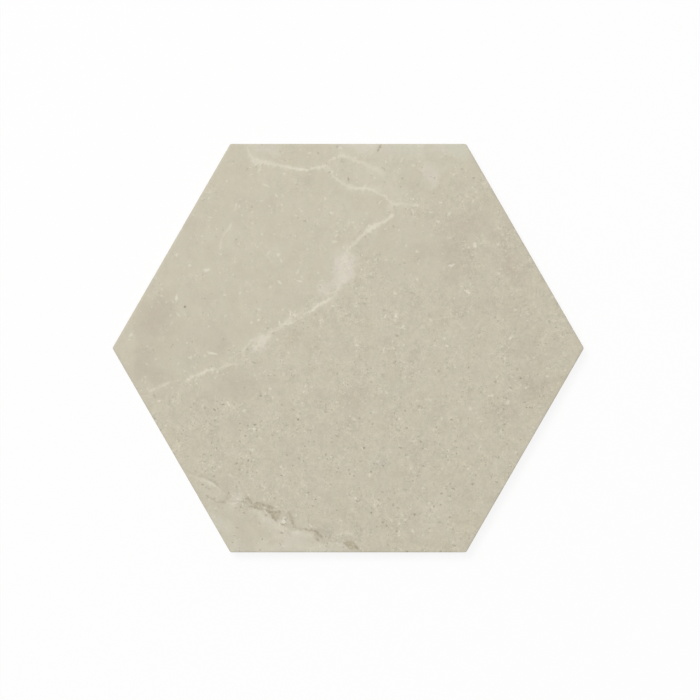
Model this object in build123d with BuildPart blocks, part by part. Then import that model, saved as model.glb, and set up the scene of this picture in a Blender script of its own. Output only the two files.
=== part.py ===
from build123d import *

import os
from math import floor, radians, sqrt, tan

# Hexagonal porcelain floor tile, dry-pressed and fired as one piece. The glazed face is up. The back
# carries a honeycomb of shallow pockets, and the ribs left between them are what the tile rests on
# and what keys into its bed of adhesive.
#
# Millimetres, +Z up. The origin is the centre of the back, on the plane of the ribs, and a corner of
# the hexagon lies on +X.

# Driving dimensions of the pressed body
ACROSS_FLATS = 200.0  # glazed face, side to opposite side
THICKNESS = 9.0  # ribs of the back to glazed face
CORNER_RADIUS = 0.4  # plan rounding at the six corners, where it is tightest
ARRIS_RADIUS = 0.6  # rounding where the glazed face turns into the side
SIDE_DRAFT = 1.5  # degrees by which the sides lean in towards the back
BACK_BEVEL = 0.8  # bevel round the back, each way

# Driving dimensions of the keying relief on the back
CELL_PITCH = 14.0  # centre to centre of neighbouring pockets
RIB_WIDTH = 2.4  # flat top of the rib between two pockets
POCKET_DEPTH = 0.8
POCKET_DRAFT = 30.0  # degrees by which a pocket's walls close in with depth
BACK_MARGIN = 6.0  # least plain border between the pockets and the edge of the back

# The corners keep one centre from face to back, so their rounding shrinks with each inset
draft_inset = THICKNESS * tan(radians(SIDE_DRAFT))
face_corner_radius = CORNER_RADIUS + max(ARRIS_RADIUS, draft_inset + BACK_BEVEL)

# The honeycomb has as many whole rings of pockets as the back holds inside its border
back_apothem = ACROSS_FLATS / 2 - draft_inset - BACK_BEVEL
pocket_apothem = (CELL_PITCH - RIB_WIDTH) / 2
pocket_corner = pocket_apothem * 2 / sqrt(3)
row_pitch = CELL_PITCH * sqrt(3) / 2
rings = floor((back_apothem - BACK_MARGIN - pocket_corner) / row_pitch)


def hexagon(apothem: float, turn: float = 0.0) -> RegularPolygon:
    """Hexagon of the given centre-to-side size, a corner on +X unless it is turned."""
    return RegularPolygon(radius=apothem, side_count=6, major_radius=False, rotation=turn)


def honeycomb_centres() -> list[tuple[float, float]]:
    """Centres of the pockets, a hexagonal block of rings round a middle one."""
    centres = []
    for row in range(-rings, rings + 1):
        pockets_in_row = 2 * rings + 1 - abs(row)
        for place in range(pockets_in_row):
            centres.append(((place - (pockets_in_row - 1) / 2) * CELL_PITCH, row * row_pitch))
    return centres


with BuildPart() as tile:
    # Pressed body: the face's outline, pressed down to the back, with sides that lean in below the face
    face_plane = Plane.XY.offset(THICKNESS)
    with BuildSketch(face_plane) as face_outline:
        hexagon(ACROSS_FLATS / 2)
        fillet(face_outline.vertices(), radius=face_corner_radius)
    extrude(amount=-THICKNESS)
    draft(tile.faces().filter_by(Axis.Z, reverse=True), neutral_plane=face_plane, angle=-SIDE_DRAFT)

    # Edges of the face and of the back
    fillet(tile.faces().sort_by(Axis.Z)[-1].edges(), radius=ARRIS_RADIUS)
    chamfer(tile.faces().sort_by(Axis.Z)[0].edges(), length=BACK_BEVEL)

    # Keying relief: pockets set flat to flat, a corner on +Y, with straight ribs between them
    with BuildSketch(Plane.XY) as pocket_mouths:
        with Locations(*honeycomb_centres()):
            hexagon(pocket_apothem, turn=30)
    extrude(amount=POCKET_DEPTH, taper=POCKET_DRAFT, mode=Mode.SUBTRACT)

tile.part.label = "floor_tile"

os.makedirs("parts", exist_ok=True)
export_step(tile.part, "parts/floor_tile.step")
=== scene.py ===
"""Looks of a hexagonal floor tile: a beige stone print under a matt glaze, on a pressed porcelain body.

The tile is one piece. A Geometry Nodes tree shapes it, the same drafted and rounded hexagon as the solid
that it stands for, with a fine grid on the face for the stone's shallow relief and a honeycomb of pockets
on the back. Sizes and places are in millimetres and degrees, and turn into metres and radians where
Blender takes them.
"""

import logging
from collections.abc import Callable, Mapping, Sequence
from dataclasses import dataclass
from enum import Enum
from math import cos, pi, radians, sin, sqrt, tan
from typing import Any, Union

import bpy
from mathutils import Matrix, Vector


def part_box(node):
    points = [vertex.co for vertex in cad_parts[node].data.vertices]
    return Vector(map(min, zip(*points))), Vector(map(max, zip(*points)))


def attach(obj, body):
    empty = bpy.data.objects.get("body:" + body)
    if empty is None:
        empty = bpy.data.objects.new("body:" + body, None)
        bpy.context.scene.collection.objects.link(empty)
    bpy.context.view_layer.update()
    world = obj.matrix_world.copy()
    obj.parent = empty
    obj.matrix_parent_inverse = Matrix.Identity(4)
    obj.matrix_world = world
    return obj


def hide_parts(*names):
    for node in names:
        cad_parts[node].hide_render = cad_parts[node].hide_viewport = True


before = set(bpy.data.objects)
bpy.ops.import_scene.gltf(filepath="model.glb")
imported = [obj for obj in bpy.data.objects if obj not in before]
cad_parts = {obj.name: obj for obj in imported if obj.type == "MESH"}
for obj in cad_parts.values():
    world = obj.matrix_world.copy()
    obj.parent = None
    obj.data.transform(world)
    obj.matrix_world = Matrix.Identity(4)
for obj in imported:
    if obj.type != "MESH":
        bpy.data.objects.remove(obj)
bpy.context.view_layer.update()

MM = 0.001
PHOTO_PIXELS = 700
MERGE_DISTANCE = 0.001

# How far apart the parts of the endless noise and marks lie that seeds in a row use, in millimetres
NOISE_STEP = (61.7, 33.1)
MARK_STEP = (47.3, 81.9)

log = logging.getLogger("floor_tile")

Colour = tuple[float, float, float]
Number = Union["Term", float]
Point = tuple[float, float]
Span = tuple[float, float]
Stop = tuple[float, float, float, float]
Patch = tuple[float, float, float, float, float, float]


def linear(colour: Colour) -> tuple[float, float, float, float]:
    """Turns 8-bit sRGB levels into the linear colour that a socket takes.

    Args:
        colour: Red, green and blue, 0 to 255.

    Returns:
        Linear red, green, blue and an alpha of 1.
    """
    shares = [level / 255 for level in colour]
    red, green, blue = [s / 12.92 if s <= 0.04045 else ((s + 0.055) / 1.055) ** 2.4 for s in shares]
    return red, green, blue, 1.0


class Term:
    """A number that a node's socket gives. Python's operators on it add Math nodes."""

    def __init__(self, graph: "Graph", socket: bpy.types.NodeSocket) -> None:
        """Keeps the socket and the graph that it is part of."""
        self.graph = graph
        self.socket = socket

    def __add__(self, other: Number) -> "Term":
        """Sum."""
        return self.graph.math("ADD", self, other)

    def __sub__(self, other: Number) -> "Term":
        """Difference."""
        return self.graph.math("SUBTRACT", self, other)

    def __rsub__(self, other: Number) -> "Term":
        """Difference from a plain number."""
        return self.graph.math("SUBTRACT", other, self)

    def __mul__(self, other: Number) -> "Term":
        """Product."""
        return self.graph.math("MULTIPLY", self, other)

    def __truediv__(self, other: Number) -> "Term":
        """Quotient."""
        return self.graph.math("DIVIDE", self, other)

    def __rtruediv__(self, other: Number) -> "Term":
        """Quotient of a plain number."""
        return self.graph.math("DIVIDE", other, self)

    def __pow__(self, other: Number) -> "Term":
        """Power."""
        return self.graph.math("POWER", self, other)

    def __abs__(self) -> "Term":
        """Size without its sign."""
        return self.graph.math("ABSOLUTE", self)

    def __gt__(self, other: Number) -> "Term":
        """One where this is the greater, else nought."""
        return self.graph.math("GREATER_THAN", self, other)

    def __lt__(self, other: Number) -> "Term":
        """One where this is the smaller, else nought."""
        return self.graph.math("LESS_THAN", self, other)

    __radd__ = __add__
    __rmul__ = __mul__


class Graph:
    """A node tree under construction, for a material, the world or a shape."""

    def __init__(self, tree: bpy.types.NodeTree) -> None:
        """Starts with an empty tree."""
        self.tree = tree
        tree.nodes.clear()

    def feed(self, socket: bpy.types.NodeSocket, value: Any) -> None:
        """Links a term or a socket to a socket, or sets the socket's own value.

        Args:
            socket: The input to feed.
            value: A term, a socket, or a plain value.
        """
        if isinstance(value, Term):
            value = value.socket
        if isinstance(value, bpy.types.NodeSocket):
            self.tree.links.new(value, socket)
        else:
            socket.default_value = value

    def node(self, kind: str, settings: Mapping[str, Any] | None = None,
             inputs: Mapping[int | str, Any] | None = None) -> bpy.types.Node:
        """Adds a node, sets it up, and then feeds its sockets.

        Args:
            kind: The node's type.
            settings: The node's own properties.
            inputs: Values and links, by the socket's name or number.

        Returns:
            The new node.
        """
        made = self.tree.nodes.new(kind)
        for name, value in (settings or {}).items():
            setattr(made, name, value)
        for key, value in (inputs or {}).items():
            self.feed(made.inputs[key], value)
        return made

    def math(self, operation: str, *values: Number) -> Term:
        """Adds a Math node.

        Args:
            operation: What it works out.
            values: Its numbers, in order.

        Returns:
            Its result.
        """
        made = self.node("ShaderNodeMath", {"operation": operation}, dict(enumerate(values)))
        return Term(self, made.outputs[0])

    def grouped(self, name: str, place: Any,
                draw: Callable[["Graph", bpy.types.NodeSocket], Term]) -> Term:
        """Draws a mask in a node group of its own.

        Args:
            name: Name of the group.
            place: The place, in millimetres.
            draw: Builds the mask in the group, from the place there.

        Returns:
            How strongly the mask shows.
        """
        kind = self.tree.bl_idname
        inner = Graph(bpy.data.node_groups.new(name, kind))
        inner.tree.interface.new_socket("Place", in_out="INPUT", socket_type="NodeSocketVector")
        inner.tree.interface.new_socket("Strength", in_out="OUTPUT", socket_type="NodeSocketFloat")
        entry = inner.node("NodeGroupInput")
        inner.node("NodeGroupOutput", inputs={0: draw(inner, entry.outputs[0])})
        made = self.node(kind.replace("NodeTree", "NodeGroup"), {"node_tree": inner.tree}, {0: place})
        return Term(self, made.outputs[0])

    def vector(self, operation: str, first: Any, second: Any) -> bpy.types.NodeSocket:
        """Adds a Vector Math node that gives a vector.

        Args:
            operation: What it works out.
            first: A vector.
            second: A vector, or the number to scale by.

        Returns:
            The vector.
        """
        place = "Scale" if operation == "SCALE" else 1
        made = self.node("ShaderNodeVectorMath", {"operation": operation}, {0: first, place: second})
        return made.outputs["Vector"]

    def dot(self, first: Any, second: Any) -> Term:
        """Dot product of two vectors."""
        made = self.node("ShaderNodeVectorMath", {"operation": "DOT_PRODUCT"}, {0: first, 1: second})
        return Term(self, made.outputs["Value"])

    def parts(self, vector: Any) -> tuple[Term, Term, Term]:
        """X, Y and Z of a vector."""
        made = self.node("ShaderNodeSeparateXYZ", inputs={0: vector})
        return Term(self, made.outputs[0]), Term(self, made.outputs[1]), Term(self, made.outputs[2])

    def joined(self, x: Number, y: Number, z: Number) -> bpy.types.NodeSocket:
        """Vector of three numbers."""
        return self.node("ShaderNodeCombineXYZ", inputs={0: x, 1: y, 2: z}).outputs[0]

    def smooth(self, value: Number, low: Number, high: Number) -> Term:
        """Eases from 0 to 1 while a value goes from low to high.

        Args:
            value: What is read.
            low: Where the result is still 0.
            high: Where the result gets to 1.

        Returns:
            The eased share.
        """
        made = self.node("ShaderNodeMapRange", {"interpolation_type": "SMOOTHSTEP"},
                         {"Value": value, "From Min": low, "From Max": high})
        return Term(self, made.outputs[0])

    def line(self, value: Number, points: Sequence[tuple[float, float]]) -> Term:
        """Reads a smooth line drawn through points.

        Args:
            value: Where along the line, 0 to 1.
            points: The line's points in order, each from 0 to 1 both ways.

        Returns:
            The line's height there.
        """
        made = self.node("ShaderNodeFloatCurve", inputs={"Value": value})
        knots = made.mapping.curves[0].points
        knots[0].location = points[0]
        knots[1].location = points[-1]
        for point in points[1:-1]:
            knots.new(*point)
        for knot in knots:
            knot.handle_type = "AUTO_CLAMPED"
        made.mapping.extend = "HORIZONTAL"
        made.mapping.update()
        return Term(self, made.outputs[0])

    def noise(self, place: Any, size: float, seed: float, detail: float = 0.0) -> bpy.types.Node:
        """Adds a Noise node over the plan of the tile.

        Args:
            place: Where it is read, in millimetres.
            size: Rough size of its features, in millimetres.
            seed: Which part of the endless noise is used.
            detail: How many finer octaves are added.

        Returns:
            The node, whose outputs are a value and a colour, both about 0.5 in the mean.
        """
        moved = self.vector("ADD", place, (NOISE_STEP[0] * seed, NOISE_STEP[1] * seed, 0.0))
        return self.node("ShaderNodeTexNoise", {"noise_dimensions": "2D"},
                         {"Vector": moved, "Scale": 1 / size, "Detail": detail, "Roughness": 0.55})

    def mixed(self, share: Number, under: Any, over: Any) -> bpy.types.NodeSocket:
        """Lays one colour over another.

        Args:
            share: How much of the upper colour shows, 0 to 1.
            under: The lower colour.
            over: The upper colour.

        Returns:
            The mixed colour.
        """
        made = self.node("ShaderNodeMix", {"data_type": "RGBA", "clamp_factor": True},
                         {0: share, 6: under, 7: over})
        return made.outputs[2]


class MaterialGraph(Graph):
    """The node tree of a new material."""

    def __init__(self, name: str) -> None:
        """Makes the material and its output node."""
        self.material = bpy.data.materials.new(name)
        self.material.use_nodes = True
        super().__init__(self.material.node_tree)
        self.output = self.node("ShaderNodeOutputMaterial")

    def place(self) -> bpy.types.NodeSocket:
        """Place on the object, in millimetres."""
        return self.vector("SCALE", self.node("ShaderNodeTexCoord").outputs["Object"], 1 / MM)

    def surface(self, colour: Any, roughness: Number, height: Term,
                bump_depth: float) -> bpy.types.Material:
        """Ends the tree in a fired surface.

        Args:
            colour: Colour of the surface.
            roughness: Roughness of the surface.
            height: Fine relief, about 0 to 1.
            bump_depth: Depth of that relief, in millimetres.

        Returns:
            The finished material.
        """
        bump = self.node("ShaderNodeBump", inputs={
            "Strength": 1.0, "Distance": bump_depth * MM, "Height": height})
        shader = self.node("ShaderNodeBsdfPrincipled", inputs={
            "Base Color": colour, "Roughness": roughness, "Normal": bump.outputs[0]})
        self.feed(self.output.inputs["Surface"], shader.outputs[0])
        return self.material


class ShapeGraph(Graph):
    """A Geometry Nodes tree with named inputs, which ends in a plain mesh."""

    def __init__(self, name: str) -> None:
        """Makes the tree and its ends."""
        super().__init__(bpy.data.node_groups.new(name, "GeometryNodeTree"))
        self.tree.interface.new_socket("Geometry", in_out="OUTPUT", socket_type="NodeSocketGeometry")
        self.entry = self.node("NodeGroupInput")
        self.exit = self.node("NodeGroupOutput")
        self.given: dict[str, Any] = {}

    def named(self, name: str, value: Any) -> Term:
        """Adds a named input to the tree.

        Args:
            name: What the input is called.
            value: What the modifier gives it: a float, an int or a material.

        Returns:
            The input, for use in the tree.
        """
        kinds = {float: "NodeSocketFloat", int: "NodeSocketInt", bpy.types.Material: "NodeSocketMaterial"}
        item = self.tree.interface.new_socket(name, in_out="INPUT", socket_type=kinds[type(value)])
        self.given[item.identifier] = value
        return Term(self, self.entry.outputs[name])

    def joined_geometry(self, *pieces: bpy.types.NodeSocket) -> bpy.types.NodeSocket:
        """Several geometries as one."""
        made = self.node("GeometryNodeJoinGeometry")
        for piece in pieces:
            self.feed(made.inputs[0], piece)
        return made.outputs[0]

    def moved(self, geometry: bpy.types.NodeSocket, chosen: Any,
              place: bpy.types.NodeSocket) -> bpy.types.NodeSocket:
        """Puts the chosen points of a geometry at new places."""
        return self.node("GeometryNodeSetPosition", inputs={0: geometry, 1: chosen, 2: place}).outputs[0]

    def plain_object(self, name: str, geometry: bpy.types.NodeSocket) -> bpy.types.Object:
        """Evaluates the tree once and keeps the result as a plain mesh.

        Args:
            name: Name of the new object.
            geometry: What the tree gives.

        Returns:
            The object, without a modifier.
        """
        self.feed(self.exit.inputs[0], geometry)
        piece = bpy.data.objects.new(name, bpy.data.meshes.new(name + "_blank"))
        bpy.context.scene.collection.objects.link(piece)
        modifier = piece.modifiers.new("shape", "NODES")
        modifier.node_group = self.tree
        for identifier, value in self.given.items():
            modifier[identifier] = value
        depsgraph = bpy.context.evaluated_depsgraph_get()
        mesh = bpy.data.meshes.new_from_object(piece.evaluated_get(depsgraph), depsgraph=depsgraph)
        piece.modifiers.remove(modifier)
        for slot in reversed(range(len(mesh.materials))):
            if mesh.materials[slot] is None:
                mesh.materials.pop(index=slot)
        piece.data = mesh
        mesh.name = name
        return piece


@dataclass(frozen=True)
class Grain:
    """One size of the stone's random grain, and how much it changes the tone, the relief and the roughness.

    Its size is in millimetres, its seed tells which part of the endless noise is used, and its detail how
    many finer octaves are added.
    """

    size: float
    seed: float
    detail: float = 0.0
    tone: float = 0.0
    relief: float = 0.0
    roughness: float = 0.0

    def drawn(self, graph: Graph, place: Any) -> Term:
        """Random value about 0."""
        return Term(graph, graph.noise(place, self.size, self.seed, self.detail).outputs[0]) - 0.5


@dataclass(frozen=True)
class Crumb:
    """Crumbs of the stone, of one size in millimetres, each of a tone of its own."""

    size: float
    tone: float

    def drawn(self, graph: Graph, place: Any) -> Term:
        """Random change of the tone about 0, the same all over each crumb."""
        cells = graph.node("ShaderNodeTexVoronoi", {"voronoi_dimensions": "2D"},
                           {"Vector": place, "Scale": 1 / self.size})
        return (graph.parts(cells.outputs["Color"])[0] - 0.5) * self.tone


@dataclass(frozen=True)
class Waver:
    """A random shift of places, so that what is drawn there has uneven edges.

    The rough size of the unevenness and how far a place shifts are in millimetres. The seed tells which
    part of the endless noise is used.
    """

    size: float
    reach: float
    seed: float

    def shifted(self, graph: Graph, place: Any) -> bpy.types.NodeSocket:
        """The place after the shift."""
        noise = graph.noise(place, self.size, self.seed)
        shift = graph.vector("SUBTRACT", noise.outputs[1], (0.5, 0.5, 0.5))
        return graph.vector("ADD", place, graph.vector("SCALE", shift, 2 * self.reach))


class Ink(Enum):
    """What a strand of the stone is drawn in."""

    PALE = "pale"
    DARK = "dark"


@dataclass(frozen=True)
class Course:
    """A line across the stone, through points in millimetres.

    Seen along the straight line from the first point to the last, the points never turn back.
    """

    points: tuple[Point, ...]

    def shares(self) -> list[float]:
        """How far along the straight line from end to end each point lies, 0 to 1."""
        start = Vector(self.points[0])
        run = Vector(self.points[-1]) - start
        return [(Vector(point) - start).dot(run) / run.length_squared for point in self.points]

    def along_and_across(self, graph: Graph, place: Any) -> tuple[Term, Term]:
        """Reads a place against the line.

        Args:
            graph: The tree to build in.
            place: The place, in millimetres.

        Returns:
            The share of the way along, and the distance to the left of the line in millimetres.
        """
        start = Vector(self.points[0])
        run = Vector(self.points[-1]) - start
        ahead = run.normalized()
        left = Vector((-ahead.y, ahead.x))
        offsets = [(Vector(point) - start).dot(left) for point in self.points]
        # A little more than the largest offset, so that a straight line has a span too
        span = max(abs(offset) for offset in offsets) + 0.1
        heights = [0.5 + offset / (2 * span) for offset in offsets]
        scaled = ahead / run.length
        along = graph.dot(place, (scaled.x, scaled.y, 0)) - start.dot(scaled)
        height = graph.line(along, list(zip(self.shares(), heights)))
        middle = height * (2 * span) - (span - start.dot(left))
        return along, graph.dot(place, (left.x, left.y, 0)) - middle


@dataclass(frozen=True)
class Strand:
    """A vein or a crack of the stone, followed from end to end.

    Each stop is x, y and half breadth in millimetres, and strength from 0 to 1. The core is the share of
    the strength that ends near the half breadth, and the rest fades slowly.
    """

    ink: Ink
    stops: tuple[Stop, ...]
    core: float = 0.75

    def mask(self, graph: Graph, place: Any, fray: Number) -> Term:
        """Draws the strand, densest in its middle.

        Args:
            graph: The tree to build in.
            place: The place, in millimetres.
            fray: By how much the strand's breadth is multiplied there.

        Returns:
            How strongly the strand shows, 0 to 1.
        """
        course = Course(tuple(stop[:2] for stop in self.stops))
        shares = course.shares()
        broadest = max(stop[2] for stop in self.stops)
        along, across = course.along_and_across(graph, place)
        breadth = graph.line(along, [(s, stop[2] / broadest) for s, stop in zip(shares, self.stops)])
        strength = graph.line(along, [(s, stop[3]) for s, stop in zip(shares, self.stops)])
        ratio = across / (breadth * broadest * fray)
        square = ratio * ratio
        return strength * (self.core / (1 + square * square) + (1 - self.core) / (1 + square))


@dataclass(frozen=True)
class Wash:
    """Patches of one colour that the print lays over its ground.

    Each patch is an oval: x, y, half length, half breadth, turn from +X in degrees, and strength from 0
    to 1. A low fade keeps an oval strong to near its edge. A high one leaves it strong in the middle alone.
    """

    name: str
    colour: Colour
    fade: float
    patches: tuple[Patch, ...]

    @staticmethod
    def oval(patch: Patch) -> tuple[Colour, Colour]:
        """Works out an oval as a sum that is 1 in its middle, 0 on its outline and less beyond.

        Args:
            patch: The oval.

        Returns:
            The sum's factors of (x, y, 1), and those of (x * x, x * y, y * y).
        """
        x, y, half_length, half_breadth, turn, _ = patch
        ahead, aside = cos(radians(turn)), sin(radians(turn))
        square_x = (ahead / half_length) ** 2 + (aside / half_breadth) ** 2
        square_y = (aside / half_length) ** 2 + (ahead / half_breadth) ** 2
        cross = 2 * ahead * aside * (half_length ** -2 - half_breadth ** -2)
        middle = square_x * x * x + cross * x * y + square_y * y * y
        plain_factors = (2 * square_x * x + cross * y, 2 * square_y * y + cross * x, 1 - middle)
        return plain_factors, (-square_x, -cross, -square_y)

    def mask(self, graph: Graph, place: Any) -> Term:
        """Draws the patches in a group, which gives how strongly the wash shows."""
        return graph.grouped(self.name, place, self.painted)

    def painted(self, graph: Graph, place: Any) -> Term:
        """Draws the patches.

        Args:
            graph: The group to build in.
            place: The place, in millimetres.

        Returns:
            How strongly the wash shows.
        """
        x, y, _ = graph.parts(place)
        plain = graph.joined(x, y, 1.0)
        squares = graph.joined(x * x, x * y, y * y)
        total: Number = 0.0
        for patch in self.patches:
            plain_factors, square_factors = self.oval(patch)
            height = graph.dot(plain, plain_factors) + graph.dot(squares, square_factors)
            # Not a Math node's clamp, which the renderer works out last of all, with every sum still held
            inside = graph.math("MAXIMUM", height, 0.0)
            if self.fade != 1:
                inside = inside ** self.fade
            total = graph.math("MULTIPLY_ADD", inside, patch[5], total)
        return total


@dataclass(frozen=True)
class Scatter:
    """Small marks of the stone, strewn at random.

    Lengths are in millimetres: the rough distance between neighbours, and the radius of the largest marks.
    A stretched mark is that many times as long, along a turn from +X in degrees. The smallest and the
    faintest marks have the least size and strength, as a share of the largest and the strongest.
    """

    spacing: float
    largest: float
    share: float
    seed: float
    stretch: float = 1.0
    turn: float = 0.0
    least_size: float = 0.4
    least_strength: float = 0.45
    fade: float = 0.7

    def mask(self, graph: Graph, place: Any, crowding: Number) -> Term:
        """Draws the marks.

        Args:
            graph: The tree to build in.
            place: The place, in millimetres.
            crowding: By how much the share of the places that have a mark is multiplied there.

        Returns:
            How strongly a mark shows, 0 to 1.
        """
        turned = graph.node("ShaderNodeVectorRotate", {"rotation_type": "Z_AXIS"},
                            {"Vector": place, "Angle": -radians(self.turn)}).outputs[0]
        spread = graph.node("ShaderNodeVectorMath", {"operation": "MULTIPLY_ADD"},
                            {0: turned, 1: (1 / self.stretch, 1, 0),
                             2: (MARK_STEP[0] * self.seed, MARK_STEP[1] * self.seed, 0)}).outputs[0]
        cells = graph.node("ShaderNodeTexVoronoi", {"voronoi_dimensions": "2D"},
                           {"Vector": spread, "Scale": 1 / self.spacing, "Randomness": 1.0})
        chance, size, depth = graph.parts(cells.outputs["Color"])
        radius = (self.least_size + size * (1 - self.least_size)) * self.largest
        reach = Term(graph, cells.outputs["Distance"]) * self.spacing / radius
        inside = graph.math("MAXIMUM", 1 - reach * reach, 0.0)
        strength = self.least_strength + depth * (1 - self.least_strength)
        return inside ** self.fade * strength * (chance < crowding * self.share)


@dataclass(frozen=True)
class Stone:
    """The stone that the face shows: where its veins, cracks and patches lie, from the face's middle."""

    strands: tuple[Strand, ...]
    seam: Course
    clouds: Wash
    roses: Wash
    olives: Wash
    smokes: Wash
    mists: Wash
    calms: Wash
    umbers: Wash
    flecks: Wash
    specks: Wash
    pale_marks: tuple[Scatter, ...]
    dark_marks: tuple[Scatter, ...]
    seam_span: Span = (-7.0, 9.0)
    ragged_edges: tuple[Waver, ...] = (Waver(4.5, 0.35, 3.1), Waver(1.1, 0.35, 3.2))
    drifting_edges: tuple[Waver, ...] = (Waver(9.0, 3.0, 3.4), Waver(2.6, 1.3, 3.5))
    fray: Grain = Grain(2.0, 3.3)
    fray_swing: float = 2.0
    mean_fray: float = 1.05
    least_fray: float = 0.4

    def ragged(self, graph: Graph, place: Any) -> bpy.types.NodeSocket:
        """Places shifted as the edges of the veins, the cracks and the small marks are."""
        for waver in self.ragged_edges:
            place = waver.shifted(graph, place)
        return place

    def drifting(self, graph: Graph, place: Any) -> bpy.types.NodeSocket:
        """Places shifted as the edges of the washes and of the smooth stone are."""
        for waver in self.drifting_edges:
            place = waver.shifted(graph, place)
        return place

    def drawn(self, graph: Graph, place: Any, ink: Ink) -> Term:
        """Draws all strands of one ink in a group.

        Args:
            graph: The tree to build in.
            place: The shifted place, in millimetres.
            ink: Which strands.

        Returns:
            How strongly they show, 0 to 1.
        """
        def draw(inner: Graph, spot: bpy.types.NodeSocket) -> Term:
            """Adds up the strands, each as frayed as the stone is there."""
            swing = self.fray.drawn(inner, spot) * self.fray_swing
            fray = inner.math("MAXIMUM", self.mean_fray + swing, self.least_fray)
            total: Number = 0.0
            for strand in self.strands:
                if strand.ink is ink:
                    total = total + strand.mask(inner, spot, fray)
            return inner.math("MINIMUM", total, 1.0)

        return graph.grouped(ink.value + "_strands", place, draw)

    def slab(self, graph: Graph, place: Any) -> Term:
        """One on the smooth side of the seam that the main vein follows, nought on the grainy side."""
        return graph.smooth(self.seam.along_and_across(graph, place)[1], *self.seam_span)

    def strewn(self, graph: Graph, place: Any, marks: Sequence[Scatter], crowding: Number) -> Term:
        """Draws all marks of one kind.

        Args:
            graph: The tree to build in.
            place: The shifted place, in millimetres.
            marks: The marks.
            crowding: How crowded they are there, about 1 in the mean.

        Returns:
            How strongly they show.
        """
        total: Number = 0.0
        for scatter in marks:
            total = total + scatter.mask(graph, place, crowding)
        return total


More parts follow.
